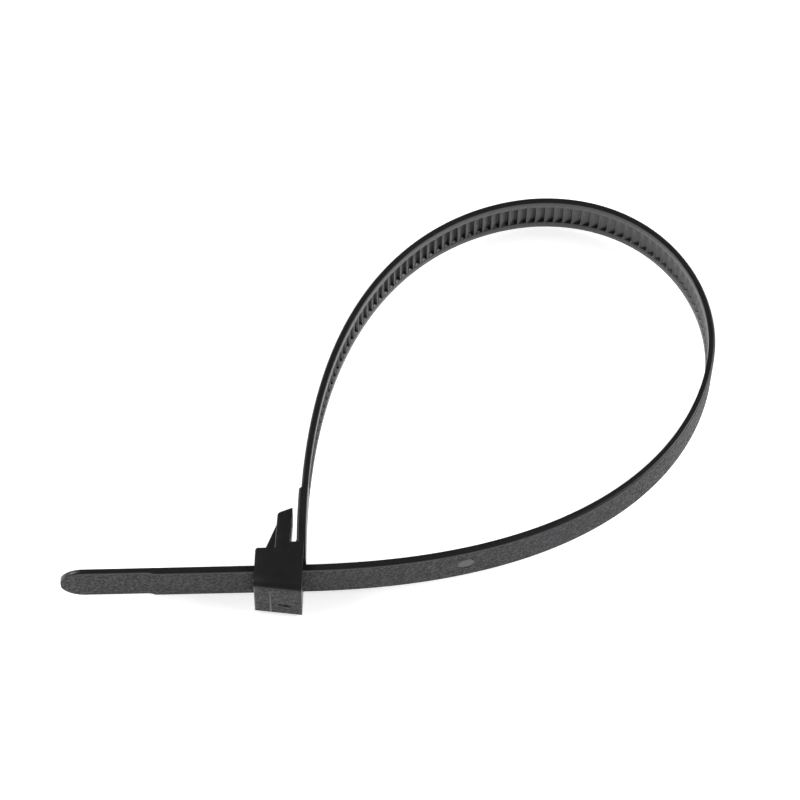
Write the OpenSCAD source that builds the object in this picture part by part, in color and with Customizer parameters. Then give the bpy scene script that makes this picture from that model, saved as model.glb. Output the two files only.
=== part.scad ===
// Releasable cable tie, closed into a loop and lying on the side of its head.
// Moulded in one piece: toothed strap, root, slotted head, pawl and release lever.
// X runs along the tail, Y from the head to the top of the loop, Z across the strap.
// Z = 0 is the side of the head it lies on.
// X = 0, Y = 0 is the middle of the whole outline.

/* [Strap] */
// Width of the strap
strap_w = 7.6; // [4.8:0.1:12]
// Thickness from the grained face to the rails
strap_t = 1.1; // [0.8:0.05:2]
// Edge chamfer, measured across the width
edge_across = 0.35; // [0.1:0.05:0.8]
// Edge chamfer, measured through the thickness
edge_deep = 0.2; // [0.1:0.05:0.6]
// Plain rail on each side of the teeth
rail_w = 1.5; // [0.8:0.1:3]

/* [Teeth] */
// Distance from one tooth to the next
tooth_pitch = 1.5; // [1:0.1:3]
// Depth of a tooth below the rails
tooth_depth = 0.55; // [0.3:0.05:0.9]
// Length of strap taken up by the steep face
tooth_rise = 0.2; // [0.1:0.05:0.5]
// Draft of the channel's side walls
channel_draft = 0.12; // [0.05:0.01:0.3]
// Plain length between the root's step and the first tooth
first_tooth = 1.2; // [0.5:0.1:20]

/* [Loop] */
// Loop height, from the strap in the head to the top of the inside
loop_high = 65; // [40:1:120]
// Loop reach, from the head's mouth to the far side of the inside
loop_wide = 66; // [40:1:120]
// Distance of the loop's top from the head's mouth
top_x = 40.35; // [20:0.05:80]
// Height of the loop's far side above the strap in the head
side_y = 39.8; // [20:0.2:80]
// Heading of the root as it leaves the head
root_heading = 90; // [75:0.2:100]
// Pull of the curve at the root
root_pull = 57; // [20:1:80]
// Pull of the curve before the top
top_pull_in = 10.7; // [5:0.1:40]
// Pull of the curve after the top
top_pull_out = 16.2; // [5:0.1:40]
// Pull of the curve before the far side
side_pull_in = 12.6; // [5:0.1:40]
// Pull of the curve after the far side
side_pull_out = 9.8; // [5:0.1:40]
// Pull of the curve at the head's mouth
mouth_pull = 57.75; // [20:0.25:80]

/* [Root and tail] */
// Thickness of the root
root_t = 1.45; // [1:0.01:3]
// Length of the thick root, from the slot's roof
root_len = 12.8; // [6:0.2:30]
// Length over which the root drops to the strap
root_step = 0.35; // [0.2:0.05:2]
// Tail length, from the head's mouth to the tip
tail_len = 38; // [20:0.5:120]
// Length of the plain thin tip
tip_len = 15; // [8:0.5:40]
// Thickness of the plain thin tip
tip_t = 0.82; // [0.5:0.02:1.5]
// Length over which the strap drops to the tip
tip_step = 1.3; // [0.5:0.1:4]

/* [Head] */
// Length of the head along the strap
head_len = 7.5; // [5:0.1:14]
// Side wall, past the slot
side_wall = 1.15; // [0.8:0.05:3]
// Clearance around the strap in the slot
slot_clear = 0.15; // [0.05:0.01:0.4]
// Height of the head's back above the toothed face
head_back = 2.4; // [1.8:0.1:6]
// Front wall at the mouth
front_wall_mouth = 3.85; // [1:0.05:6]
// Front wall at the exit
front_wall_exit = 2.8; // [1:0.05:6]
// Rounding of the two front edges, across the head
front_round = 1.3; // [0.3:0.1:3]
// Rounding of the two front edges, from the front back
front_round_deep = 2; // [0.3:0.1:4]
// Lean of the head's two end faces, from square to the strap
head_lean = 3.7; // [0:0.1:8]
// Rounding of the head's exit corners
exit_round = 0.45; // [0.1:0.05:1.2]

/* [Cheeks] */
// Height of the cheeks above the head's back
cheek_high = 1.15; // [0.4:0.05:3]
// Length of the cheeks from the mouth
cheek_len = 4.05; // [2:0.05:6]
// Step from the head's sides in to the cheeks
cheek_step = 0.4; // [0.1:0.05:0.5]
// Rounding of the cheeks' free corner
cheek_round = 0.6; // [0.2:0.1:1.5]

/* [Pawl and lever] */
// Gap between the pawl's teeth and the strap's
pawl_gap = 0.1; // [0.04:0.01:0.2]
// Clearance between the pawl and each side of the channel
pawl_side = 0.12; // [0.05:0.01:0.4]
// Length of the pawl from the mouth
pawl_len = 6.85; // [4:0.05:10]
// Thickness of the pawl above the toothed face
pawl_t = 1.5; // [1:0.1:3]
// Number of teeth on the pawl
pawl_teeth = 3; // [2:1:5]
// Thickness of the living hinge
hinge_t = 0.6; // [0.3:0.05:1]
// Height of the living hinge above the toothed face
hinge_y = 1; // [0.5:0.1:2]
// Width of the lever across the strap
lever_w = 6; // [3:0.1:10]
// Thickness of the lever along the strap
lever_t = 2.3; // [1:0.1:4]
// Gap between lever and root at the cheeks
lever_gap = 1.25; // [0.3:0.05:2]
// Height of the lever's tip above the toothed face
lever_high = 10.4; // [6:0.1:20]
// Lean of the lever toward the root
lever_lean = 5; // [0:0.5:15]
// Drop of the slanted lever end
lever_slant = 1.1; // [0:0.05:2]
// Rounding of the lever's free corner
lever_round = 0.7; // [0.2:0.1:1.2]
// Height of the stiffening web behind the lever
web_high = 8; // [4:0.1:12]

/* [Mould marks] */
// Diameter of the round ejector mark on the grained face
mark_d = 2.7; // [1:0.1:5]
// Strap length from the ejector mark to the mouth
mark_from_mouth = 25.5; // [12:0.5:60]
// Depth of the marks
mark_deep = 0.08; // [0.05:0.01:0.2]
// Distance of the fine front rib from the mouth
rib_x = 5.25; // [1:0.05:7]
// Width of the fine front rib
rib_w = 0.3; // [0.1:0.05:1]
// Distance of the long mark's middle from the mouth
long_mark_x = 3.1; // [1:0.1:6]
// Height of the long mark on the front
long_mark_z = 3.9; // [2:0.1:8]
// Length of the long mark on the front
long_mark_len = 2.6; // [1:0.1:4]
// Width of the long mark on the front
long_mark_w = 0.5; // [0.2:0.1:1]

/* [Hidden] */
$fn = 96;
eps = 0.01;

// Heights across the strap
strap_z = side_wall + slot_clear;
mid_z = strap_z + strap_w / 2;
head_w = 2 * mid_z;

// The inside line of the loop: three curves through the root, the top, the far side and the mouth
root_x = 0.48;
root_y = 0.5;
root_at = [root_x, root_y];
top_at = [top_x, loop_high];
side_at = [loop_wide, side_y];
mouth_at = [0, 0];
curves = [
    [root_at, root_at + root_pull * [cos(root_heading), sin(root_heading)],
     top_at - [top_pull_in, 0], top_at],
    [top_at, top_at + [top_pull_out, 0], side_at + [0, side_pull_in], side_at],
    [side_at, side_at - [0, side_pull_out], mouth_at + [mouth_pull, 0], mouth_at]
];

function blend(c, u) =
    pow(1 - u, 3) * c[0] + 3 * u * pow(1 - u, 2) * c[1] + 3 * u * u * (1 - u) * c[2] + pow(u, 3) * c[3];
function slope(c, u) =
    pow(1 - u, 2) * (c[1] - c[0]) + 2 * u * (1 - u) * (c[2] - c[1]) + u * u * (c[3] - c[2]);
function curve_at(u) = let(i = min(2, floor(u))) blend(curves[i], u - i);
function heading_at(u) = let(i = min(2, floor(u)), d = slope(curves[i], u - i)) d / norm(d);

// Length along the loop against curve position
steps_per_curve = 48;
last_step = 3 * steps_per_curve;
length_table = [
    for (i = 0, run = 0; i <= last_step;
         run = run + norm(curve_at((i + 1) / steps_per_curve) - curve_at(i / steps_per_curve)), i = i + 1)
    [run, i / steps_per_curve]
];
loop_len = length_table[last_step][0];
strap_end = loop_len + tail_len;

// A place on the toothed face, and the way out to the grained face
function place(s) = s < loop_len ? curve_at(lookup(s, length_table)) : [loop_len - s, 0];
function ahead(s) = s < loop_len ? heading_at(lookup(s, length_table)) : [-1, 0];
function outward(s) = let(d = ahead(s)) [-d[1], d[0]];

// Thickness, tip rounding and tooth depth along the strap
tip_round = strap_w / 2;
tip_from = strap_end - tip_len;
function thickness(s) = lookup(s, [
    [root_len, root_t], [root_len + root_step, strap_t],
    [tip_from, strap_t], [tip_from + tip_step, tip_t]
]);
function narrowing(s) =
    let(left = strap_end - s) left >= tip_round ? 1 : sqrt(1 - pow(1 - left / tip_round, 2));

teeth_from = root_len + root_step + first_tooth;
tooth_count = floor((tip_from - teeth_from) / tooth_pitch);
function crest(k) = teeth_from + k * tooth_pitch;

// Stations along the strap: [length, depth of the channel]
plain_step = 1.5;
tip_turns = [80, 70, 60, 50, 40, 30, 20, 10];
stations = concat(
    [for (s = [0 : plain_step : root_len - eps]) [s, 0]],
    [[root_len, 0], [root_len + root_step, 0]],
    [for (k = [0 : tooth_count - 1]) each [
        [crest(k), 0],
        [crest(k) + tooth_pitch - tooth_rise, tooth_depth]
    ]],
    [[crest(tooth_count), 0]],
    [[tip_from + tip_step / 3, 0], [tip_from + tip_step, 0]],
    [for (s = [tip_from + tip_step + plain_step : plain_step : strap_end - tip_round - plain_step / 2]) [s, 0]],
    [for (a = concat([90], tip_turns)) [strap_end - tip_round * (1 - cos(a)), 0]]
);

// The strap's section at a station, as [out of the toothed face, across]
function section(s, deep) =
    let(t = thickness(s), half = strap_w / 2, bed = half - rail_w) [
        [t, -half + edge_across], [t, half - edge_across],
        [t - edge_deep, half], [0, half],
        [0, bed], [deep, bed - channel_draft],
        [deep, -bed + channel_draft], [0, -bed],
        [0, -half], [t - edge_deep, -half]
    ];
section_points = 10;

function ring(st) = let(p = place(st[0]), n = outward(st[0]), k = narrowing(st[0]))
    [for (q = section(st[0], st[1])) [p[0] + q[0] * n[0], p[1] + q[0] * n[1], mid_z + k * q[1]]];

module strap() {
    m = section_points;
    last = len(stations) - 1;
    color("#2b2b2d")
        polyhedron(
            points = [for (st = stations) each ring(st)],
            faces = concat(
                [[for (j = [0 : m - 1]) j]],
                [for (i = [0 : last - 1]) for (j = [0 : m - 1])
                    [i * m + j, (i + 1) * m + j, (i + 1) * m + (j + 1) % m, i * m + (j + 1) % m]],
                [[for (j = [m - 1 : -1 : 0]) last * m + j]]
            ),
            convexity = 10
        );
}

// Points of a rounded corner, from one direction to another, with one radius or one each way
function corner(centre, r, from, to, n = 6) =
    let(rx = is_list(r) ? r[0] : r, ry = is_list(r) ? r[1] : r)
    [for (i = [0 : n]) let(a = from + (to - from) * i / n) centre + [rx * cos(a), ry * sin(a)]];

front_turn = atan((front_wall_mouth - front_wall_exit) / head_len);
slot_floor = -strap_t - slot_clear;

// The head's outside: front wall turned a little, its two long edges rounded, its ends leaning,
// and a cheek at the back of each side wall, beside the lever
front_y = slot_floor - front_wall_mouth;
front_tip = front_y / (1 + tan(head_lean) * tan(front_turn));
shoulder_top = head_back + cheek_high;

module head_side_profile() {
    long = 3 * head_len;
    r = [front_round_deep, front_round];
    polygon(concat(
        [[-long, 0], [-long, head_w]],
        corner([-r[0], head_w - r[1]], r, 90, 0, 9),
        corner([-r[0], r[1]], r, 0, -90, 9)
    ));
}

module head_top_profile() {
    r = exit_round;
    x = r - head_len;
    front_corner = [x, front_y - x * tan(front_turn) + r / cos(front_turn)];
    polygon(concat(
        [[0, 2 * front_y], [0, shoulder_top]],
        corner([cheek_round - cheek_len, shoulder_top - cheek_round], cheek_round, 90, 180),
        [[-cheek_len, head_back]],
        corner([x, head_back - r], r, 90, 180),
        corner(front_corner, r, 180, 270 - front_turn),
        [[x - r * sin(front_turn), 2 * front_y]]
    ));
}

module head_outside() {
    intersection() {
        translate([0, front_y, 0])
            rotate([0, 0, -front_turn])
                rotate([90, 0, -90])
                    translate([0, 0, -head_len])
                        linear_extrude(height = 3 * head_len) head_side_profile();
        multmatrix([[1, tan(head_lean), 0, 0], [0, 1, 0, 0], [0, 0, 1, 0]])
            linear_extrude(height = head_w) head_top_profile();
    }
}

module head() {
    color("#2a2a2c")
        difference() {
            head_outside();
            translate([-2 * head_len, slot_floor, side_wall])
                cube([3 * head_len, 4 * head_back - slot_floor, head_w - 2 * side_wall]);
            for (z = [cheek_step - side_wall, head_w - cheek_step])
                translate([-cheek_len - side_wall, head_back + 2 * eps, z])
                    cube([cheek_len + 2 * side_wall, 2 * cheek_high, side_wall]);
        }
}

// Shoulder that joins the root to both side walls
root_out = root_t - root_x;
shoulder_more = 0.15;

module shoulder() {
    color("#2a2a2c")
        translate([-root_out - shoulder_more, root_y - shoulder_more, side_wall / 2])
            cube([root_out + shoulder_more, shoulder_top - root_y + shoulder_more - eps, head_w - side_wall]);
}

// Pawl: its underside follows the strap's teeth at a small gap
pawl_w = strap_w - 2 * (rail_w + channel_draft + pawl_side);
tip_tooth = floor((loop_len + pawl_len - teeth_from) / tooth_pitch);
lever_x = -root_out - lever_gap;
lever_y = hinge_y + hinge_t;
function crest_x(k) = loop_len - crest(k) + pawl_gap;
function lever_side(y) = lever_x - lever_t / cos(lever_lean) + (y - lever_y) * tan(lever_lean);

module pawl() {
    web_in = lever_t / 4;
    color("#2b2b2d")
        translate([0, 0, mid_z - pawl_w / 2])
            linear_extrude(height = pawl_w)
                polygon(concat(
                    [[-pawl_len, pawl_gap]],
                    [for (k = [tip_tooth : -1 : tip_tooth - pawl_teeth + 1]) each [
                        [crest_x(k), pawl_gap],
                        [crest_x(k) + tooth_rise, pawl_gap - tooth_depth]
                    ]],
                    [[lever_x, hinge_y], [-root_out, hinge_y], [-root_out, lever_y], [lever_x, lever_y]],
                    [[lever_side(web_high) + web_in, web_high], [lever_side(web_high), web_high]],
                    [[-pawl_len, pawl_t]]
                ));
}

// Release lever: pressed toward the root, it lifts the pawl off the teeth
module lever() {
    r = lever_round;
    long = (lever_high - lever_y) / cos(lever_lean);
    fall = atan(lever_slant / lever_t);
    middle = [r - lever_t, long - (lever_t - r) * tan(fall) - r / cos(fall)];
    color("#2b2b2d")
        translate([lever_x, lever_y, mid_z - lever_w / 2])
            rotate([0, 0, -lever_lean])
                linear_extrude(height = lever_w)
                    polygon(concat(
                        [[0, 0], [0, long]],
                        corner(middle, r, 90 + fall, 180),
                        [[-lever_t, 0]]
                    ));
}

// Fine rib down the front of the head
module front_rib() {
    color("#2a2a2c")
        translate([0, front_y, 0])
            rotate([0, 0, -front_turn])
                translate([-rib_x - rib_w / 2, -mark_deep, front_round])
                    cube([rib_w, front_wall_exit / 2, head_w - 2 * front_round]);
}

// Long shallow mark on the front of the head
module long_mark() {
    r = long_mark_w / 2;
    reach = long_mark_len / 2 - r;
    translate([0, front_y, 0])
        rotate([0, 0, -front_turn])
            translate([-long_mark_x, mark_deep, long_mark_z])
                rotate([90, 0, 0])
                    linear_extrude(height = front_wall_mouth)
                        polygon(concat(corner([reach, 0], r, -90, 90), corner([-reach, 0], r, 90, 270)));
}

// Round ejector mark sunk in the grained face
module round_mark() {
    s = loop_len - mark_from_mouth;
    n = outward(s);
    face = place(s) + (strap_t - mark_deep) * n;
    translate([face[0], face[1], mid_z])
        rotate([0, 0, atan2(n[1], n[0])])
            rotate([0, 90, 0])
                cylinder(h = strap_t, d = mark_d);
}

module cable_tie() {
    translate([-(loop_wide + strap_t - tail_len) / 2, -(loop_high + strap_t + front_tip) / 2, 0])
        difference() {
            union() {
                strap();
                head();
                shoulder();
                pawl();
                lever();
                front_rib();
            }
            long_mark();
            round_mark();
        }
}

cable_tie();
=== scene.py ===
"""Releasable cable tie, closed into a loop: strap, head, pawl and release lever."""

import math

import bmesh
import bpy
from bpy.props import FloatProperty, FloatVectorProperty, PointerProperty
from mathutils import Matrix, Vector


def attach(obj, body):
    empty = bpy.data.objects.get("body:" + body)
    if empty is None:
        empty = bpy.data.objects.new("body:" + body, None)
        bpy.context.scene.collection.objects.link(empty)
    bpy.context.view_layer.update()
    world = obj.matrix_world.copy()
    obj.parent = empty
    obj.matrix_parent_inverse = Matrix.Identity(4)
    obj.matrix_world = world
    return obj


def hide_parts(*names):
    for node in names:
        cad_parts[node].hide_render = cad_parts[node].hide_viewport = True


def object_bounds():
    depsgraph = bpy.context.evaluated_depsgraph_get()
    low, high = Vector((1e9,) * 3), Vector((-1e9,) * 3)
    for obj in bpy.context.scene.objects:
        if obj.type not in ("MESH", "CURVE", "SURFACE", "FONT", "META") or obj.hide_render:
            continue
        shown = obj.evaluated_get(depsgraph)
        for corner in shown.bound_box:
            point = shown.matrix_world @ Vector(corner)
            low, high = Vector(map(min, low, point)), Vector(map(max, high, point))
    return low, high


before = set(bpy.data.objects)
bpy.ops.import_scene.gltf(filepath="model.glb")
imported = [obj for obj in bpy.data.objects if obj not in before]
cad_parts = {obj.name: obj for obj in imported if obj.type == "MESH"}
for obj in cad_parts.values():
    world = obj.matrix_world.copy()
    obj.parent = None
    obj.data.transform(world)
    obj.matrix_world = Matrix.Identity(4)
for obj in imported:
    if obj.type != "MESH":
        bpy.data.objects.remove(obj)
CAD_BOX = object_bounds()

bl_info = {
    "name": "Releasable cable tie",
    "version": (1, 0, 0),
    "blender": (4, 5, 0),
    "location": "3D View > Sidebar > Cable tie",
    "description": "Builds a moulded nylon cable tie, closed into a loop, and its studio",
    "category": "Object",
}

MM = 0.001
BODY = "root"
NODE = "cable_tie"

# Faces are painted by these places in a piece's list of finishes
POLISHED, GRAINED, PIN_END = 0, 1, 2
# Faces that meet at less than this many degrees are shaded as one
SMOOTH_BELOW = 35


# ---------------------------------------------------------------- settings

def length(name, about, millimetres, low, high):
    """A size that the user can change, kept in metres and given in millimetres."""
    return FloatProperty(name=name, description=about, default=millimetres * MM,
                         min=low * MM, max=high * MM, unit="LENGTH", precision=5)


def linear(code):
    """An sRGB hex colour as linear red, green, blue and alpha."""
    parts = [int(code[i:i + 2], 16) / 255 for i in (1, 3, 5)]
    return [c / 12.92 if c <= 0.04045 else ((c + 0.055) / 1.055) ** 2.4 for c in parts] + [1.0]


class CableTieSizes(bpy.types.PropertyGroup):
    """Sizes of the tie. All but its edge roundings are those of the solid model."""

    strap_w: length("Strap width", "Width of the strap", 7.6, 4.8, 12)
    strap_t: length("Strap thickness", "From the grained face to the rails", 1.1, 0.8, 2)
    rail_w: length("Rail width", "Plain rail on each side of the teeth", 1.5, 0.8, 3)
    edge_across: length("Edge rounding across", "Rounded edge of the grained face, across the width",
                        0.45, 0.1, 0.8)
    edge_deep: length("Edge rounding deep", "Rounded edge of the grained face, through the thickness",
                      0.4, 0.1, 0.6)
    tooth_pitch: length("Tooth pitch", "Distance from one tooth to the next", 1.5, 1, 3)
    tooth_depth: length("Tooth depth", "Depth of a tooth below the rails", 0.55, 0.3, 0.9)
    tooth_rise: length("Tooth rise", "Length of strap taken up by a tooth's steep face", 0.2, 0.1, 0.5)
    root_t: length("Root thickness", "Thickness of the root", 1.45, 1, 3)
    root_len: length("Root length", "Length of the thick root", 12.8, 6, 30)
    tail_len: length("Tail length", "From the head's mouth to the tip", 38, 20, 120)
    tip_len: length("Tip length", "Length of the plain thin tip", 15, 8, 40)
    tip_t: length("Tip thickness", "Thickness of the plain thin tip", 0.82, 0.5, 1.5)
    head_len: length("Head length", "Length of the head along the strap", 7.5, 5, 14)
    side_wall: length("Side wall", "Thickness of the head's side walls", 1.15, 0.8, 3)
    head_back: length("Back height", "Height of the head's back above the toothed face", 2.4, 1.8, 6)
    front_round: length("Front rounding", "Rounding of the front edges, across the head", 1.3, 0.3, 3)
    front_deep: length("Front rounding deep", "Rounding of the front edges, from the front back",
                       2, 0.3, 4)
    lever_w: length("Lever width", "Width of the release lever", 6, 3, 10)
    lever_high: length("Lever height", "Height of the lever's tip", 10.4, 6, 20)
    cheek_step: length("Cheek step", "Step from the head's sides in to the cheeks", 0.4, 0.1, 0.5)
    small_edge: length("Broken edge", "Radius left on sharp moulded edges", 0.14, 0.02, 0.3)


class CableTieFinish(bpy.types.PropertyGroup):
    """Colours and surface of the moulded nylon."""

    nylon: FloatVectorProperty(name="Nylon", description="Colour of the black nylon", subtype="COLOR",
                               size=3, default=linear("#1b1b1c")[:3], min=0, max=1)
    polished_rough: FloatProperty(name="Polished roughness", description="Roughness off polished steel",
                                  default=0.34, min=0, max=1, subtype="FACTOR")
    grained_rough: FloatProperty(name="Grained roughness", description="Roughness off spark-eroded steel",
                                 default=0.5, min=0, max=1, subtype="FACTOR")
    grain: length("Grain width", "Width of one pit of the spark-eroded grain", 0.26, 0.05, 1)
    grain_deep: length("Grain depth", "Depth of the spark-eroded grain", 0.09, 0.001, 0.2)


class CableTieStudio(bpy.types.PropertyGroup):
    """Floor, light and camera."""

    floor_size: FloatProperty(name="Floor size", description="Side of the square floor", default=6,
                              min=1, max=20, unit="LENGTH")
    floor_glow: FloatProperty(name="Floor glow", description="Light that the acrylic floor lets through",
                              default=0.65, min=0, max=5)
    ceiling: FloatProperty(name="Ceiling", description="Brightness of the dark ceiling", default=0.04,
                           min=0, max=5)
    walls: FloatProperty(name="Walls", description="Brightness of the pale walls", default=0.12,
                         min=0, max=5)
    side_light: FloatProperty(name="Side light", description="Power of each soft light", default=7.0,
                              min=0, max=50, unit="POWER")
    elevation: FloatProperty(name="Camera elevation", description="Height of the camera's line of sight",
                             default=math.radians(61.411), subtype="ANGLE")
    turn: FloatProperty(name="Camera turn", description="Turn of the camera round the tie",
                        default=math.radians(2.51), subtype="ANGLE")
    roll: FloatProperty(name="Camera roll", description="Tilt of the camera about its line of sight",
                        default=math.radians(0.978), subtype="ANGLE")
    distance: FloatProperty(name="Camera distance", description="From the camera to what it looks at",
                            default=0.6067, min=0.1, max=5, unit="LENGTH")
    lens: FloatProperty(name="Lens", description="Focal length", default=168.8, min=10, max=400,
                        unit="CAMERA")


# ---------------------------------------------------------------- mesh helpers

def mm(value):
    """Metres, as a setting keeps them, to millimetres, as the shapes are worked out."""
    return value / MM


def corner(centre, radii, start, stop, steps=10):
    """Points of a rounded corner, from one direction to another, in degrees."""
    across, up = radii if isinstance(radii, tuple) else (radii, radii)
    turns = [math.radians(start + (stop - start) * i / steps) for i in range(steps + 1)]
    return [(centre[0] + across * math.cos(a), centre[1] + up * math.sin(a)) for a in turns]


def move_to_frame(sizes):
    """The tie's own origin, at the head's mouth, to the middle of the solid model's outline."""
    low, high = Vector(CAD_BOX[0]), Vector(CAD_BOX[1])
    x = high.x / MM - LOOP_WIDE - mm(sizes.strap_t)
    y = high.y / MM - LOOP_HIGH - mm(sizes.strap_t)
    return Vector((round(x, 2), round(y, 3), low.z / MM))


def to_object(name, mesh, finishes):
    """A new object from a bmesh, with its finishes."""
    data = bpy.data.meshes.new(name)
    mesh.to_mesh(data)
    mesh.free()
    for finish in finishes:
        data.materials.append(finish)
    piece = bpy.data.objects.new(name, data)
    bpy.context.scene.collection.objects.link(piece)
    return piece


def prism(outline, low, high, place):
    """A closed prism: an outline of (a, b) points, carried from low to high along c."""
    mesh = bmesh.new()
    rows = [[mesh.verts.new(place(a, b, c)) for a, b in outline] for c in (low, high)]
    count = len(outline)
    mesh.faces.new(rows[0])
    mesh.faces.new(rows[1])
    for i in range(count):
        j = (i + 1) % count
        mesh.faces.new((rows[0][i], rows[0][j], rows[1][j], rows[1][i]))
    bmesh.ops.recalc_face_normals(mesh, faces=mesh.faces)
    return mesh


def as_drawn(a, b, c):
    """A prism's point just as it is drawn: along the strap, out of it and across it."""
    return Vector((a, b, c))


def combine(body, tool, how):
    """Joins, cuts or overlaps two bmeshes exactly, and gives back the result. Both hold the
    finishes, so that painted faces keep theirs."""
    first = to_object("shape", body, finishes())
    second = to_object("tool", tool, finishes())
    step = first.modifiers.new("combine", "BOOLEAN")
    step.operation, step.solver, step.object = how, "EXACT", second
    step.material_mode = "INDEX"
    bpy.context.view_layer.update()
    result = bmesh.new()
    result.from_object(first, bpy.context.evaluated_depsgraph_get())
    for thing in (first, second):
        data = thing.data
        bpy.data.objects.remove(thing)
        bpy.data.meshes.remove(data)
    if not result.faces:
        raise RuntimeError("a join or a cut left nothing")
    bmesh.ops.remove_doubles(result, verts=result.verts, dist=1e-4)
    return result


def break_edges(mesh, radius, sharp=32):
    """Rounds every edge that is sharper than so many degrees, as a mould leaves it."""
    flat = math.radians(1)
    bmesh.ops.dissolve_limit(mesh, angle_limit=flat, verts=mesh.verts, edges=mesh.edges,
                             delimit={"MATERIAL"})
    edges = [e for e in mesh.edges
             if e.is_manifold and e.calc_face_angle(0) > math.radians(sharp)]
    bmesh.ops.bevel(mesh, geom=edges, offset=radius, offset_type="OFFSET", segments=3, profile=0.5,
                    affect="EDGES", clamp_overlap=True)
    bmesh.ops.remove_doubles(mesh, verts=mesh.verts, dist=1e-4)
    bmesh.ops.recalc_face_normals(mesh, faces=mesh.faces)


def finish_piece(piece, shift):
    """Puts a piece made at the head's mouth into the frame, inside the solid model's box."""
    low, high = Vector(CAD_BOX[0]), Vector(CAD_BOX[1])
    for vertex in piece.data.vertices:
        point = (vertex.co + shift) * MM
        vertex.co = Vector(min(max(point[i], low[i]), high[i]) for i in range(3))
    piece.data.shade_smooth()
    piece.data.set_sharp_from_angle(angle=math.radians(SMOOTH_BELOW))
    piece.data.update()
    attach(piece, BODY)
    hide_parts(NODE)


# ---------------------------------------------------------------- finishes

def add(tree, kind, settings=None, links=None):
    """One node, with its settings by attribute or socket name, and its inputs linked."""
    node = tree.nodes.new(kind)
    for key, value in (settings or {}).items():
        if key in node.inputs:
            node.inputs[key].default_value = value
        else:
            setattr(node, key, value)
    for key, source in (links or {}).items():
        tree.links.new(source, node.inputs[key])
    return node


def ramp(tree, source, stops):
    """A colour ramp with its stops as (place, colour)."""
    node = add(tree, "ShaderNodeValToRGB", links={"Fac": source})
    band = node.color_ramp
    while len(band.elements) > 1:
        band.elements.remove(band.elements[-1])
    band.elements[0].position, band.elements[0].color = stops[0]
    for place, colour in stops[1:]:
        band.elements.new(place).color = colour
    return node


def new_finish(name):
    """An empty material, and its tree of nodes."""
    finish = bpy.data.materials.new(name)
    finish.use_nodes = True
    finish.node_tree.nodes.clear()
    return finish, finish.node_tree


def grey(value):
    """A grey, as a ramp's colour."""
    return (value, value, value, 1)


def tone(colour, share, blue=None):
    """A lighter or darker tone of a colour, with its own share of blue where one is given."""
    return (colour[0] * share, colour[1] * share, colour[2] * (share if blue is None else blue), 1)


def polished_nylon(look):
    """Black nylon moulded against polished steel: a deep black with a soft sheen, and a faint
    waviness from uneven shrinking that breaks up the long reflections."""
    finish, tree = new_finish("nylon_black_moulded_polished")
    where = add(tree, "ShaderNodeTexCoord").outputs["Object"]
    # Slow waves about 2 mm apart, from shrinking over the teeth
    wave = add(tree, "ShaderNodeTexNoise", {"Scale": 1 / (2.0 * MM), "Detail": 2.0}, {"Vector": where})
    # Scuffs about 0.3 mm across, from handling in the bag
    scuff = add(tree, "ShaderNodeTexNoise", {"Scale": 1 / (0.3 * MM), "Detail": 4.0, "Roughness": 0.6},
                {"Vector": where})
    tint = ramp(tree, wave.outputs["Fac"], [
        (0.3, tone(look.nylon, 0.88)), (0.7, tone(look.nylon, 1.14, 1.16))])
    rough = ramp(tree, scuff.outputs["Fac"], [
        (0.35, grey(look.polished_rough - 0.05)), (0.7, grey(look.polished_rough + 0.09))])
    slow = add(tree, "ShaderNodeBump", {"Strength": 1.0, "Distance": 0.006 * MM},
               {"Height": wave.outputs["Fac"]})
    fine = add(tree, "ShaderNodeBump", {"Strength": 1.0, "Distance": 0.0015 * MM},
               {"Height": scuff.outputs["Fac"], "Normal": slow.outputs["Normal"]})
    shader = add(tree, "ShaderNodeBsdfPrincipled", {"IOR": 1.53},
                 {"Base Color": tint.outputs["Color"], "Roughness": rough.outputs["Color"],
                  "Normal": fine.outputs["Normal"]})
    add(tree, "ShaderNodeOutputMaterial", links={"Surface": shader.outputs["BSDF"]})
    return finish


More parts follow.
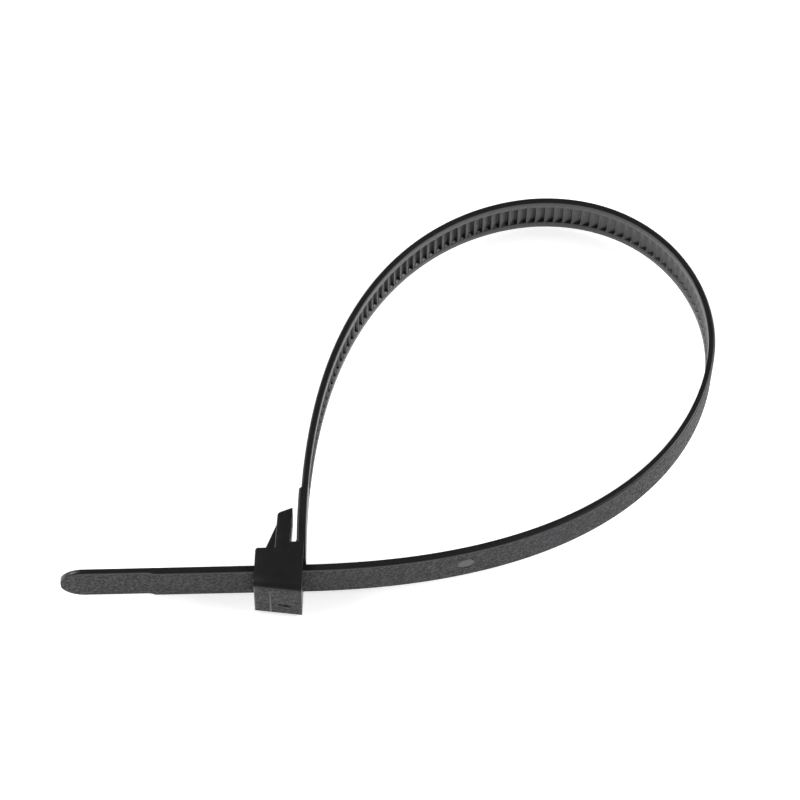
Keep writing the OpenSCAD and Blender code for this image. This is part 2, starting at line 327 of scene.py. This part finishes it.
def grained_nylon_painted_glints(look):
    """Black nylon moulded against spark-eroded steel: overlapping round pits in its bumps, and in its
    colour a fine grey speckle of painted glints and painted shade, where light would glance off the pits."""
    finish, tree = new_finish("nylon_black_spark_eroded_painted_glints")
    where = add(tree, "ShaderNodeTexCoord").outputs["Object"]
    pits = add(tree, "ShaderNodeTexVoronoi", {"feature": "F1", "Scale": 1 / look.grain}, {"Vector": where})
    # Finer sparks between the pits, at about 0.6 of their width
    sparks = add(tree, "ShaderNodeTexNoise", {"Scale": 1.7 / look.grain, "Detail": 2.0,
                                              "Roughness": 0.6}, {"Vector": where})
    # Each pit keeps its own random value: high ones are painted as glints, low ones in painted shade
    own = add(tree, "ShaderNodeSeparateXYZ", links={"Vector": pits.outputs["Color"]}).outputs["X"]
    mixed = add(tree, "ShaderNodeMath", {"operation": "MULTIPLY"})
    tree.links.new(own, mixed.inputs[0])
    tree.links.new(sparks.outputs["Fac"], mixed.inputs[1])
    # Painted glints and painted shade: high values of the pits and sparks are drawn up to 4.5 times paler
    # than the nylon is, low ones down to 0.4 times, to give the speckle that light makes on the real grain
    tint = ramp(tree, mixed.outputs["Value"], [
        (0.08, tone(look.nylon, 0.4)), (0.25, tone(look.nylon, 1.6, 1.7)),
        (0.5, tone(look.nylon, 4.5, 4.8))])
    rough = ramp(tree, mixed.outputs["Value"], [
        (0.1, grey(look.grained_rough + 0.12)), (0.45, grey(look.grained_rough - 0.06))])
    coarse = add(tree, "ShaderNodeBump", {"Strength": 1.0, "Distance": look.grain_deep},
                 {"Height": pits.outputs["Distance"]})
    fine = add(tree, "ShaderNodeBump", {"Strength": 1.0, "Distance": look.grain_deep * 0.6},
               {"Height": sparks.outputs["Fac"], "Normal": coarse.outputs["Normal"]})
    # Pits shade one another, so less light glances off; how much less is set to look right
    shader = add(tree, "ShaderNodeBsdfPrincipled", {"IOR": 1.53, "Specular IOR Level": 0.25},
                 {"Base Color": tint.outputs["Color"], "Roughness": rough.outputs["Color"],
                  "Normal": fine.outputs["Normal"]})
    add(tree, "ShaderNodeOutputMaterial", links={"Surface": shader.outputs["BSDF"]})
    return finish


def pin_end_nylon_painted_sheen(look):
    """Black nylon against the ground end of an ejector pin: flat, its colour drawn a little paler as a
    painted sheen, with faint bands from its grinding."""
    finish, tree = new_finish("nylon_black_ejector_mark_painted_sheen")
    where = add(tree, "ShaderNodeTexCoord").outputs["Object"]
    # Real grinding lines are too fine to show, so they are drawn coarser. The texture repeats
    # every 0.31 of its unit, which here makes bands about 1.6 mm apart
    lines = add(tree, "ShaderNodeTexWave", {"Scale": 1 / (5 * MM), "Distortion": 2.0, "Detail": 3.0},
                {"Vector": where})
    # Painted sheen: the colour runs from 1.1 to 1.7 times the nylon's, in bands that stand for the
    # grinding lines
    tint = ramp(tree, lines.outputs["Fac"], [
        (0.2, tone(look.nylon, 1.1)), (0.8, tone(look.nylon, 1.7))])
    shader = add(tree, "ShaderNodeBsdfPrincipled", {"IOR": 1.53, "Roughness": 0.3},
                 {"Base Color": tint.outputs["Color"]})
    add(tree, "ShaderNodeOutputMaterial", links={"Surface": shader.outputs["BSDF"]})
    return finish


def finishes():
    """The three finishes, in the order of their places."""
    names = ("nylon_black_moulded_polished", "nylon_black_spark_eroded_painted_glints",
             "nylon_black_ejector_mark_painted_sheen")
    look = bpy.context.scene.cable_tie_finish
    makers = (polished_nylon, grained_nylon_painted_glints, pin_end_nylon_painted_sheen)
    return [bpy.data.materials.get(n) or make(look) for n, make in zip(names, makers)]


# ---------------------------------------------------------------- the strap's line

# The inside line of the loop, in millimetres from the head's mouth on the toothed face
LOOP_HIGH = 65.0
LOOP_WIDE = 66.0
ROOT_AT, ROOT_PULL = (0.48, 0.5), (0.0, 57.0)
TOP_AT, TOP_PULL_IN, TOP_PULL_OUT = (40.35, LOOP_HIGH), (-10.7, 0.0), (16.2, 0.0)
SIDE_AT, SIDE_PULL_IN, SIDE_PULL_OUT = (LOOP_WIDE, 39.8), (0.0, 12.6), (0.0, -9.8)
MOUTH_AT, MOUTH_PULL = (0.0, 0.0), (57.75, 0.0)
STEPS_PER_CURVE = 400
# Length to each side of a place that its heading is taken over
HEADING_SPAN = 0.05


def curve_points(start, pull_out, pull_in, end):
    """Finely spaced points of one curve between two places with their pulls."""
    a, d = Vector(start), Vector(end)
    b, c = a + Vector(pull_out), d + Vector(pull_in)
    points = []
    for i in range(STEPS_PER_CURVE):
        u = i / STEPS_PER_CURVE
        v = 1 - u
        points.append(v ** 3 * a + 3 * u * v * v * b + 3 * u * u * v * c + u ** 3 * d)
    return points


class Line:
    """The strap's line: places on the toothed face by length from the slot's roof."""

    def __init__(self, tail_len):
        self.points = (curve_points(ROOT_AT, ROOT_PULL, TOP_PULL_IN, TOP_AT)
                       + curve_points(TOP_AT, TOP_PULL_OUT, SIDE_PULL_IN, SIDE_AT)
                       + curve_points(SIDE_AT, SIDE_PULL_OUT, MOUTH_PULL, MOUTH_AT)
                       + [Vector(MOUTH_AT)])
        self.runs = [0.0]
        for first, second in zip(self.points, self.points[1:]):
            self.runs.append(self.runs[-1] + (second - first).length)
        self.loop_len = self.runs[-1]
        self.end = self.loop_len + tail_len

    def at(self, s):
        """The place at a length."""
        if s >= self.loop_len:
            return Vector((self.loop_len - s, 0.0))
        low, high = 0, len(self.runs) - 1
        while high - low > 1:
            middle = (low + high) // 2
            if self.runs[middle] <= s:
                low = middle
            else:
                high = middle
        share = (s - self.runs[low]) / (self.runs[high] - self.runs[low])
        return self.points[low].lerp(self.points[high], share)

    def outward(self, s):
        """The way out to the grained face at a length."""
        ahead = self.at(s + HEADING_SPAN) - self.at(max(0.0, s - HEADING_SPAN))
        ahead.normalize()
        return Vector((-ahead.y, ahead.x))


def ease(low, high, s, first, last):
    """A smooth change from one size to another between two lengths."""
    share = min(max((s - low) / (high - low), 0.0), 1.0)
    return first + (last - first) * share * share * (3 - 2 * share)


# Length over which the root drops to the strap
ROOT_STEP = 0.35
# Plain length between the root's step and the first tooth
FIRST_TOOTH = 1.2
# Length over which the strap drops to the tip
TIP_STEP = 1.3
# Stretches that each of these two drops is drawn in
STEP_PARTS = 6
# Distance between stations where the strap is plain
PLAIN_STEP = 0.5
# Least distance from a plain station to a crest
NEAR_CREST = 0.05
# Turn from one station of the round tip to the next, in degrees, and how many there are
TIP_TURN = 3.5
TIP_TURNS = 25
# Rounding of a tooth's crest and foot
CREST_ROUND = 0.05
# Draft of the channel's side walls
CHANNEL_DRAFT = 0.12
# Rounding along the top of those walls
LIP = 0.06
# Rounding beside the toothed face
INNER_ROUND = 0.1
# Share of the edge rounding that is left on the half with the mould's parting
PARTING_SHARE = 0.2


def tooth_profile(sizes):
    """One tooth, as (length from its crest, depth), with its crest and foot a little rounded."""
    pitch, deep, rise = mm(sizes.tooth_pitch), mm(sizes.tooth_depth), mm(sizes.tooth_rise)
    ramp_len = pitch - rise
    fall, climb = deep / ramp_len, deep / rise
    r = CREST_ROUND
    return [(0.0, 0.35 * r), (0.7 * r, 0.55 * r), (2 * r, 2 * r * fall),
            (0.25 * ramp_len, 0.25 * deep), (0.5 * ramp_len, 0.5 * deep), (0.75 * ramp_len, 0.75 * deep),
            (ramp_len - 1.6 * r, deep - 1.6 * r * fall), (ramp_len - 0.4 * r, deep - 0.45 * r),
            (ramp_len + 0.3 * r, deep - 0.6 * r), (ramp_len + 0.9 * r, deep - 0.9 * r * climb),
            (pitch - 0.5 * r, 0.5 * r * climb)]


def stations(sizes, line):
    """Stations along the strap, as (length, depth of the channel)."""
    pitch = mm(sizes.tooth_pitch)
    root_end = mm(sizes.root_len)
    teeth_from = root_end + ROOT_STEP + FIRST_TOOTH
    tip_from = line.end - mm(sizes.tip_len)
    tip_round = mm(sizes.strap_w) / 2
    found = []
    s = 0.0
    while s < root_end - PLAIN_STEP / 2:
        found.append((s, 0.0))
        s += PLAIN_STEP
    found += [(root_end + ROOT_STEP * i / STEP_PARTS, 0.0) for i in range(STEP_PARTS + 1)]
    found.append((root_end + ROOT_STEP + FIRST_TOOTH / 2, 0.0))
    count = int((tip_from - teeth_from) / pitch)
    profile = tooth_profile(sizes)
    found.append((teeth_from - NEAR_CREST, 0.0))
    for k in range(count):
        found += [(teeth_from + k * pitch + along, deep) for along, deep in profile]
    last_crest = teeth_from + count * pitch
    found += [(last_crest, 0.0)]
    drops = [tip_from + TIP_STEP * i / STEP_PARTS for i in range(STEP_PARTS + 1)]
    found += [(drop, 0.0) for drop in drops if drop > last_crest + NEAR_CREST]
    s = tip_from + TIP_STEP + PLAIN_STEP
    while s < line.end - tip_round - PLAIN_STEP / 2:
        found.append((s, 0.0))
        s += PLAIN_STEP
    turns = [90 - TIP_TURN * i for i in range(TIP_TURNS)]
    found += [(line.end - tip_round * (1 - math.cos(math.radians(a))), 0.0) for a in turns]
    return found


def half_section(sizes, thick, deep, parting):
    """Half of the strap's section, from the middle of the grained face round to the middle of
    the toothed face, as (out of the toothed face, across). The half with the mould's parting
    has a crisper edge."""
    half = mm(sizes.strap_w) / 2
    share = PARTING_SHARE if parting else 1.0
    across, down = mm(sizes.edge_across) * share, mm(sizes.edge_deep) * share
    bed = half - mm(sizes.rail_w)
    points = [(thick, 0.0)]
    for i in range(8):
        a = math.radians(90 - 90 * i / 7)
        points.append((thick - down + down * math.sin(a), half - across + across * math.cos(a)))
    inner = INNER_ROUND
    for i in range(4):
        a = math.radians(90 * i / 3)
        points.append((inner - inner * math.sin(a), half - inner + inner * math.cos(a)))
    lip = min(deep, LIP)
    draft = CHANNEL_DRAFT
    points += [(0.0, bed + 0.05), (0.3 * lip, bed + 0.01), (lip, bed - 0.02)]
    foot = max(lip, deep - 0.05)
    points += [(foot, bed - draft + 0.01), (deep, bed - draft - 0.05), (deep, 0.0)]
    return points


def strap_mesh(sizes, line, mid_z):
    """The whole strap, from the slot's roof round to the tip, as one closed skin."""
    mesh = bmesh.new()
    root_end, tip_from = mm(sizes.root_len), line.end - mm(sizes.tip_len)
    root_t, strap_t, tip_t = mm(sizes.root_t), mm(sizes.strap_t), mm(sizes.tip_t)
    tip_round = mm(sizes.strap_w) / 2
    rings = []
    for s, deep in stations(sizes, line):
        thick = ease(root_end, root_end + ROOT_STEP, s, root_t, strap_t)
        thick -= ease(tip_from, tip_from + TIP_STEP, s, 0.0, strap_t - tip_t)
        left = (line.end - s) / tip_round
        narrow = 1.0 if left >= 1 else math.sqrt(max(0.0, 1 - (1 - left) ** 2))
        upper, lower = half_section(sizes, thick, deep, False), half_section(sizes, thick, deep, True)
        section = upper + [(out, -across) for out, across in reversed(lower[1:-1])]
        at, out_way = line.at(s), line.outward(s)
        rings.append([mesh.verts.new((at.x + out * out_way.x, at.y + out * out_way.y,
                                      mid_z + narrow * across)) for out, across in section])
    count = len(rings[0])
    mesh.faces.new(rings[0])
    mesh.faces.new(list(reversed(rings[-1])))
    for first, second in zip(rings, rings[1:]):
        for i in range(count):
            j = (i + 1) % count
            face = mesh.faces.new((first[i], second[i], second[j], first[j]))
            if i in (0, count - 1):
                face.material_index = GRAINED
    bmesh.ops.recalc_face_normals(mesh, faces=mesh.faces)
    return mesh


# ---------------------------------------------------------------- operators

# Clearance around the strap in the slot
SLOT_CLEAR = 0.15
# Round mark of an ejector pin: strap length to the mouth, radius and depth
MARK_FROM_MOUTH = 25.5
MARK_RADIUS = 1.35
MARK_DEEP = 0.06
# Height of the round cutter that sinks it
MARK_CUTTER = 1.0


def middle_z(sizes):
    """Height of the strap's middle above the side that the head lies on."""
    return mm(sizes.side_wall) + SLOT_CLEAR + mm(sizes.strap_w) / 2


class CABLETIE_OT_strap(bpy.types.Operator):
    """Build the toothed strap, from its root round the loop to its tip"""

    bl_idname = "cable_tie.strap"
    bl_label = "Strap"

    def execute(self, context):
        sizes = context.scene.cable_tie_sizes
        line = Line(mm(sizes.tail_len))
        mid_z = middle_z(sizes)
        mesh = strap_mesh(sizes, line, mid_z)
        # Round mark of an ejector pin, sunk in the grained face near the head
        s = line.loop_len - MARK_FROM_MOUTH
        at, way = line.at(s), line.outward(s)
        deep = mm(sizes.strap_t) - MARK_DEEP
        pin = bmesh.new()
        bmesh.ops.create_cone(pin, cap_ends=True, segments=64, radius1=MARK_RADIUS,
                              radius2=MARK_RADIUS, depth=MARK_CUTTER)
        turn = Vector((0, 0, 1)).rotation_difference(Vector((way.x, way.y, 0))).to_matrix().to_4x4()
        centre = at + way * (deep + MARK_CUTTER / 2)
        bmesh.ops.transform(pin, verts=pin.verts,
                            matrix=Matrix.Translation((centre.x, centre.y, mid_z)) @ turn)
        for face in pin.faces:
            face.material_index = PIN_END
        mesh = combine(mesh, pin, "DIFFERENCE")
        piece = to_object("strap", mesh, finishes())
        finish_piece(piece, move_to_frame(sizes))
        return {"FINISHED"}


# Front wall of the head, at its mouth and at its exit
FRONT_WALL_MOUTH, FRONT_WALL_EXIT = 3.85, 2.8
# Rounding of the head's exit corners
EXIT_ROUND = 0.45
# Cheeks: height above the head's back, length from the mouth, rounding of the free corner
CHEEK_HIGH, CHEEK_LEN, CHEEK_ROUND = 1.15, 4.05, 0.6
# Clear of the head's back, so that the cut for the cheeks' step leaves it whole
CHEEK_SEAT = 0.02
# Lean of the head's two end faces, from square to the strap
HEAD_LEAN = math.radians(3.7)
# Shoulder that joins the root to both side walls: where it starts, how far it reaches past
# the root, and the fillet over it
SHOULDER_FROM = 0.35
SHOULDER_MORE = 0.15
SHOULDER_FILLET = 0.35
# Scar of the gate: its middle as (along, across), half its length and height, and its tilt
SCAR_AT = (-3.1, 3.9)
SCAR_LONG, SCAR_HIGH = 1.3, 0.36
SCAR_TILT = math.radians(-6)
# Its sloping sides, as (share of its size, depth)
SCAR_RINGS = ((1.0, -1.0), (1.0, 0.0), (0.78, 0.16), (0.45, 0.28))
SCAR_POINTS = 32
# Fine rib down the front: distance from the mouth, half its width, how proud it stands,
# how deep it is rooted, and the radius of its edges
RIB_X = 5.25
RIB_HALF, RIB_PROUD, RIB_ROOTED, RIB_EDGE = 0.15, 0.07, 0.4, 0.06
# Faces within about 14 degrees of the front's own direction are grained
FRONT_FACING = 0.97
# Torn nib in the scar, and a small lump of black nylon at the slot's exit: middles and radii
NIB_AT, NIB_RADII = (-3.45, 0.1, 4.0), (0.42, 0.13, 0.16)
EXIT_LUMP_AT, EXIT_LUMP_RADII = (-7.62, -1.5, 6.9), (0.35, 0.28, 0.42)


def head_mesh(sizes):
    """The head: front wall, side walls with their cheeks, and the shoulder over the mouth."""
    head_len, side_wall, back = mm(sizes.head_len), mm(sizes.side_wall), mm(sizes.head_back)
    slot_floor = -mm(sizes.strap_t) - SLOT_CLEAR
    front_y = slot_floor - FRONT_WALL_MOUTH
    head_w = mm(sizes.strap_w) + 2 * (side_wall + SLOT_CLEAR)
    turn = math.atan((FRONT_WALL_MOUTH - FRONT_WALL_EXIT) / head_len)
    top = back + CHEEK_HIGH
    deep, r = mm(sizes.front_deep), mm(sizes.front_round)
    side = ([(3 * head_len, 0), (3 * head_len, head_w)]
            + corner((deep, head_w - r), (deep, r), 90, 180, 16)
            + corner((deep, r), (deep, r), 180, 270, 16))
    spin = Matrix.Translation((0, front_y, 0)) @ Matrix.Rotation(-turn, 4, "Z")
    outside = prism(side, -2 * head_len, head_len, lambda a, b, c: spin @ Vector((c, a, b)))
    r = EXIT_ROUND
    x = r - head_len
    lean = math.degrees(turn)
    front_corner = (x, front_y - x * math.tan(turn) + r / math.cos(turn))
    plan = ([(0, 2 * front_y), (0, top)]
            + corner((CHEEK_ROUND - CHEEK_LEN, top - CHEEK_ROUND), CHEEK_ROUND, 90, 180)
            + [(-CHEEK_LEN, back)]
            + corner((x, back - r), r, 90, 180)
            + corner(front_corner, r, 180, 270 - lean)
            + [(x - r * math.sin(turn), 2 * front_y)])
    leaning = prism(plan, 0, head_w, lambda a, b, c: Vector((a + b * math.tan(HEAD_LEAN), b, c)))
    mesh = combine(outside, leaning, "INTERSECT")
    slot = [(-2 * head_len, slot_floor), (head_len, slot_floor),
            (head_len, 4 * back), (-2 * head_len, 4 * back)]
    mesh = combine(mesh, prism(slot, side_wall, head_w - side_wall, as_drawn), "DIFFERENCE")
    # The cheeks stand in from the head's sides
    step, seat = mm(sizes.cheek_step), back + CHEEK_SEAT
    far, high = -CHEEK_LEN - side_wall, back + 3 * CHEEK_HIGH
    block = [(far, seat), (side_wall, seat), (side_wall, high), (far, high)]
    for low in (step - side_wall, head_w - step):
        mesh = combine(mesh, prism(block, low, low + side_wall, as_drawn), "DIFFERENCE")
    root_out = mm(sizes.root_t) - ROOT_AT[0]
    low, high, fillet = SHOULDER_FROM, top - 0.01, SHOULDER_FILLET
    beam = ([(-root_out - SHOULDER_MORE, low), (0, low), (0, high)]
            + [(-root_out + 0.1, high), (-root_out + 0.1, top + fillet)]
            + corner((-root_out - fillet, high + fillet), fillet, 0, -90, 6)
            + [(-root_out - fillet - 0.02, low + 1.5)])
    mesh = combine(mesh, prism(beam, side_wall / 2, head_w - side_wall / 2, as_drawn), "UNION")
    mesh = combine(mesh, gate_scar(spin), "DIFFERENCE")
    return mesh, head_w, spin


def gate_scar(spin):
    """The hollow left where the gate was torn off the front wall: a lens with sloping sides."""
    tilt = SCAR_TILT
    mesh = bmesh.new()
    rows = []
    for share, deep in SCAR_RINGS:
        row = []
        for i in range(SCAR_POINTS):
            a = 2 * math.pi * i / SCAR_POINTS
            x = share * SCAR_LONG * math.cos(a)
            # Drawn in toward both ends, so that they come out pointed
            z = share * SCAR_HIGH * math.sin(a) * (0.55 + 0.45 * abs(math.sin(a)))
            x, z = x * math.cos(tilt) - z * math.sin(tilt), x * math.sin(tilt) + z * math.cos(tilt)
            row.append(mesh.verts.new(spin @ Vector((x + SCAR_AT[0], deep, z + SCAR_AT[1]))))
        rows.append(row)
    for first, second in zip(rows, rows[1:]):
        for i in range(SCAR_POINTS):
            j = (i + 1) % SCAR_POINTS
            mesh.faces.new((first[i], first[j], second[j], second[i]))
    mesh.faces.new(rows[0])
    mesh.faces.new(rows[-1])
    bmesh.ops.recalc_face_normals(mesh, faces=mesh.faces)
    # The scar takes the ejector mark's finish, so its colour too is a painted sheen, paler than the nylon
    for face in mesh.faces:
        face.material_index = PIN_END
    return mesh


def blob(centre, radii):
    """A small rounded lump, such as a torn nib or the one at the slot's exit."""
    mesh = bmesh.new()
    bmesh.ops.create_icosphere(mesh, subdivisions=3, radius=1.0)
    for vertex in mesh.verts:
        vertex.co = Vector(vertex.co[i] * radii[i] + centre[i] for i in range(3))
    return mesh


class CABLETIE_OT_head(bpy.types.Operator):
    """Build the slotted head, with its cheeks and its shoulder"""

    bl_idname = "cable_tie.head"
    bl_label = "Head"

    def execute(self, context):
        sizes = context.scene.cable_tie_sizes
        mesh, head_w, spin = head_mesh(sizes)
        break_edges(mesh, mm(sizes.small_edge))
        front = spin.to_3x3() @ Vector((0, -1, 0))
        for face in mesh.faces:
            if face.normal.dot(front) > FRONT_FACING and face.material_index != PIN_END:
                face.material_index = GRAINED
        rib = prism([(-RIB_HALF, -RIB_PROUD), (RIB_HALF, -RIB_PROUD),
                     (RIB_HALF, RIB_ROOTED), (-RIB_HALF, RIB_ROOTED)],
                    mm(sizes.front_round), head_w - mm(sizes.front_round),
                    lambda a, b, c: spin @ Vector((a - RIB_X, b, c)))
        break_edges(rib, RIB_EDGE)
        mesh = combine(mesh, rib, "UNION")
        mesh = combine(mesh, blob(spin @ Vector(NIB_AT), NIB_RADII), "UNION")
        mesh = combine(mesh, blob(EXIT_LUMP_AT, EXIT_LUMP_RADII), "UNION")
        piece = to_object("head", mesh, finishes())
        finish_piece(piece, move_to_frame(sizes))
        return {"FINISHED"}


# Gap between the pawl's teeth and the strap's, and between the pawl and each channel wall
PAWL_GAP = 0.1
PAWL_SIDE = 0.12
# Length of the pawl from the mouth, its thickness above the toothed face, and its teeth
PAWL_LEN = 6.85
PAWL_T = 1.5
PAWL_TEETH = 3
# Living hinge: height above the toothed face, and thickness
HINGE_Y, HINGE_T = 1.0, 0.6
# Lever: gap to the root, thickness, lean toward the root, drop of its slanted end, and the
# rounding of its free corner
LEVER_GAP, LEVER_T, LEVER_LEAN = 1.25, 2.3, math.radians(5)
LEVER_SLANT, LEVER_ROUND = 1.1, 0.7
# Height of the web that stiffens it
WEB_HIGH = 8.0


class CABLETIE_OT_pawl_and_lever(bpy.types.Operator):
    """Build the toothed pawl, its living hinge, and the release lever with its web"""

    bl_idname = "cable_tie.pawl_and_lever"
    bl_label = "Pawl and lever"

    def execute(self, context):
        sizes = context.scene.cable_tie_sizes
        line = Line(mm(sizes.tail_len))
        pitch, deep, rise = mm(sizes.tooth_pitch), mm(sizes.tooth_depth), mm(sizes.tooth_rise)
        teeth_from = mm(sizes.root_len) + ROOT_STEP + FIRST_TOOTH
        mid_z = middle_z(sizes)
        tip = int((line.loop_len + PAWL_LEN - teeth_from) / pitch)
        root_out = mm(sizes.root_t) - ROOT_AT[0]
        lever_x, lever_y = -root_out - LEVER_GAP, HINGE_Y + HINGE_T
        lean_x = lever_x - LEVER_T / math.cos(LEVER_LEAN)
        web_x = lean_x + (WEB_HIGH - lever_y) * math.tan(LEVER_LEAN)
        outline = [(-PAWL_LEN, PAWL_GAP)]
        for k in range(tip, tip - PAWL_TEETH, -1):
            crest = line.loop_len - teeth_from - k * pitch + PAWL_GAP
            outline += [(crest, PAWL_GAP), (crest + rise, PAWL_GAP - deep)]
        outline += [(lever_x, HINGE_Y), (-root_out, HINGE_Y), (-root_out, lever_y), (lever_x, lever_y),
                    (web_x + LEVER_T / 4, WEB_HIGH), (web_x, WEB_HIGH), (-PAWL_LEN, PAWL_T)]
        pawl_w = mm(sizes.strap_w) - 2 * (mm(sizes.rail_w) + CHANNEL_DRAFT + PAWL_SIDE)
        mesh = prism(outline, mid_z - pawl_w / 2, mid_z + pawl_w / 2, as_drawn)
        tall = (mm(sizes.lever_high) - lever_y) / math.cos(LEVER_LEAN)
        fall = math.atan(LEVER_SLANT / LEVER_T)
        r = LEVER_ROUND
        middle = (r - LEVER_T, tall - (LEVER_T - r) * math.tan(fall) - r / math.cos(fall))
        blade = ([(0, 0), (0, tall)] + corner(middle, r, 90 + math.degrees(fall), 180) + [(-LEVER_T, 0)])
        tilt = Matrix.Translation((lever_x, lever_y, 0)) @ Matrix.Rotation(-LEVER_LEAN, 4, "Z")
        lever_w = mm(sizes.lever_w)
        lever = prism(blade, mid_z - lever_w / 2, mid_z + lever_w / 2,
                      lambda a, b, c: tilt @ Vector((a, b, c)))
        mesh = combine(mesh, lever, "UNION")
        break_edges(mesh, mm(sizes.small_edge))
        piece = to_object("pawl_and_lever", mesh, finishes())
        finish_piece(piece, move_to_frame(sizes))
        return {"FINISHED"}


# Soft lights, in metres: their size, and how far out, back and up each one stands
LIGHT_SIZE = (0.7, 0.5)
LIGHT_OUT, LIGHT_BACK, LIGHT_UP = 0.75, 0.05, 0.55
# Where the camera looks, and the width of its sensor, in millimetres
LOOK_AT = (1.575, 2.348, 1.3)
SENSOR_WIDTH = 36


class CABLETIE_OT_stage(bpy.types.Operator):
    """Lay the white floor, and set the soft lights and the camera"""

    bl_idname = "cable_tie.stage"
    bl_label = "Floor, lights and camera"

    def execute(self, context):
        scene = context.scene
        studio = scene.cable_tie_studio
        half = studio.floor_size / 2
        data = bpy.data.meshes.new("floor")
        data.from_pydata([(-half, -half, 0), (half, -half, 0), (half, half, 0), (-half, half, 0)], [],
                         [(0, 1, 2, 3)])
        floor = bpy.data.objects.new("floor", data)
        scene.collection.objects.link(floor)
        # Opal acrylic sheet, lit softly from below: an even white with hardly a shadow
        finish, tree = new_finish("acrylic_opal_white")
        where = add(tree, "ShaderNodeTexCoord").outputs["Object"]
        cloud = add(tree, "ShaderNodeTexNoise", {"Scale": 4.0, "Detail": 1.0}, {"Vector": where})
        tint = ramp(tree, cloud.outputs["Fac"], [(0.3, linear("#f2f2f2")), (0.7, linear("#f6f6f6"))])
        shader = add(tree, "ShaderNodeBsdfPrincipled",
                     {"Roughness": 0.6, "IOR": 1.49, "Emission Color": (1, 1, 1, 1),
                      "Emission Strength": studio.floor_glow}, {"Base Color": tint.outputs["Color"]})
        add(tree, "ShaderNodeOutputMaterial", links={"Surface": shader.outputs["BSDF"]})
        data.materials.append(finish)

        # Pale walls all round and a dark ceiling, as a small studio tent has
        world = bpy.data.worlds.new("studio")
        scene.world = world
        world.use_nodes = True
        tree = world.node_tree
        tree.nodes.clear()
        way = add(tree, "ShaderNodeTexCoord").outputs["Generated"]
        height = add(tree, "ShaderNodeSeparateXYZ", links={"Vector": way}).outputs["Z"]
        band = ramp(tree, height, [(0.0, grey(studio.walls)), (0.35, grey(studio.walls * 0.8)),
                                   (0.62, grey(studio.ceiling * 1.6)), (1.0, grey(studio.ceiling))])
        sky = add(tree, "ShaderNodeBackground", links={"Color": band.outputs["Color"]})
        add(tree, "ShaderNodeOutputWorld", links={"Surface": sky.outputs["Background"]})

        # A soft light on each side, low enough to stay out of the upward faces
        for name, side in (("light_left", -1), ("light_right", 1)):
            light = bpy.data.lights.new(name, "AREA")
            light.shape = "RECTANGLE"
            light.size, light.size_y = LIGHT_SIZE
            light.energy = studio.side_light
            lamp = bpy.data.objects.new(name, light)
            lamp.location = (side * LIGHT_OUT, LIGHT_BACK, LIGHT_UP)
            aim = Vector((0, 0, 0)) - lamp.location
            lamp.rotation_euler = aim.to_track_quat("-Z", "Y").to_euler()
            scene.collection.objects.link(lamp)

        # Camera, above the head's front
        e, turn, roll = studio.elevation, studio.turn, studio.roll
        across = Vector((math.cos(turn), -math.sin(turn), 0))
        up = Vector((math.sin(turn) * math.sin(e), math.cos(turn) * math.sin(e), math.cos(e)))
        back = across.cross(up)
        right = across * math.cos(roll) + up * math.sin(roll)
        upright = up * math.cos(roll) - across * math.sin(roll)
        look_at = Vector(LOOK_AT) * MM
        place = look_at + back * studio.distance
        eye = bpy.data.cameras.new("camera")
        eye.lens, eye.sensor_width = studio.lens, SENSOR_WIDTH
        eye.clip_start, eye.clip_end = 0.01, 50
        camera = bpy.data.objects.new("camera", eye)
        camera.matrix_world = Matrix(((right.x, upright.x, back.x, place.x),
                                      (right.y, upright.y, back.y, place.y),
                                      (right.z, upright.z, back.z, place.z), (0, 0, 0, 1)))
        scene.collection.objects.link(camera)
        scene.camera = camera
        scene.view_settings.view_transform = "Standard"
        scene.view_settings.look = "None"
        return {"FINISHED"}


class CABLETIE_PT_panel(bpy.types.Panel):
    """Lists the tie's settings and the steps that build it"""

    bl_idname = "CABLETIE_PT_panel"
    bl_label = "Cable tie"
    bl_space_type = "VIEW_3D"
    bl_region_type = "UI"
    bl_category = "Cable tie"

    def draw(self, context):
        scene = context.scene
        for title, group in (("Sizes", scene.cable_tie_sizes), ("Finish", scene.cable_tie_finish),
                             ("Studio", scene.cable_tie_studio)):
            box = self.layout.box()
            box.label(text=title)
            for name in group.__annotations__:
                box.prop(group, name)
        for step in STEPS:
            self.layout.operator(step.bl_idname)


GROUPS = {"cable_tie_sizes": CableTieSizes, "cable_tie_finish": CableTieFinish,
          "cable_tie_studio": CableTieStudio}
STEPS = (CABLETIE_OT_stage, CABLETIE_OT_strap, CABLETIE_OT_head, CABLETIE_OT_pawl_and_lever)


def register():
    """Adds the settings, the steps and the panel."""
    for item in (*GROUPS.values(), *STEPS, CABLETIE_PT_panel):
        bpy.utils.register_class(item)
    for name, group in GROUPS.items():
        setattr(bpy.types.Scene, name, PointerProperty(type=group))


def unregister():
    """Takes the settings, the steps and the panel away again."""
    for name in GROUPS:
        delattr(bpy.types.Scene, name)
    for item in reversed((*GROUPS.values(), *STEPS, CABLETIE_PT_panel)):
        bpy.utils.unregister_class(item)


def main():
    """Builds the stage and every piece."""
    register()
    bpy.ops.cable_tie.stage()
    bpy.ops.cable_tie.strap()
    bpy.ops.cable_tie.head()
    bpy.ops.cable_tie.pawl_and_lever()


if __name__ == "__main__":
    main()
